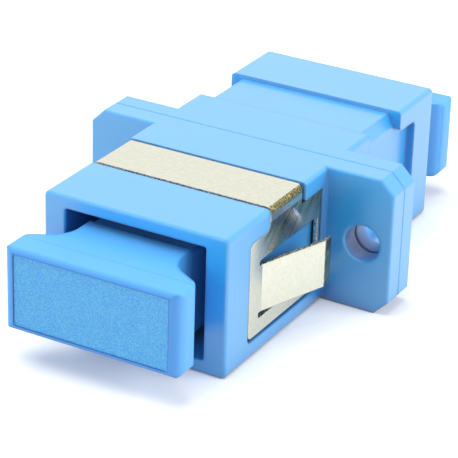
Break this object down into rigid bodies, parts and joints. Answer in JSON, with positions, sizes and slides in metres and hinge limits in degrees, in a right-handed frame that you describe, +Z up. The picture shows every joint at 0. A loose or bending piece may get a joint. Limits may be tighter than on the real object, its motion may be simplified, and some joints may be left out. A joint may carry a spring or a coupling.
{
  "type": "sc fibre adapter",
  "caption": "Flanged simplex coupler that lines up two push-pull fibre plugs in a slit ceramic sleeve, with a sprung panel clip and a pull-off dust cap in each socket.",
  "frame": {"origin": "middle of the alignment sleeve, on the ferrule axis, at the parting plane of the flange", "axes": "+X across the flange through both screw holes, +Y along the fibre from the clip end to the plain end, +Z up out of the face that the clip's band crosses; the keyways open downwards"},
  "size_m": [0.022, 0.0374, 0.0092],
  "materials": {
    "housing_plastic": "satin moulding",
    "insert_plastic": "matt",
    "zirconia": "ground",
    "spring_steel": "rolled sheet",
    "cap_plastic": "spark grained"
  },
  "bodies": {
    "adapter": {"front_housing": "housing_plastic", "rear_housing": "housing_plastic", "front_latch_insert": "insert_plastic", "rear_latch_insert": "insert_plastic", "split_sleeve": "zirconia", "spring_clip": "spring_steel"},
    "front_cap": {"front_dust_cap": "cap_plastic"},
    "rear_cap": {"rear_dust_cap": "cap_plastic"}
  },
  "joints": [
    {"name": "front_cap_pull", "type": "slide", "parent": "adapter", "child": "front_cap", "axis": [0, -1, 0], "range_m": [0, 0.0125]},
    {"name": "rear_cap_pull", "type": "slide", "parent": "adapter", "child": "rear_cap", "axis": [0, 1, 0], "range_m": [0, 0.0125]}
  ]
}
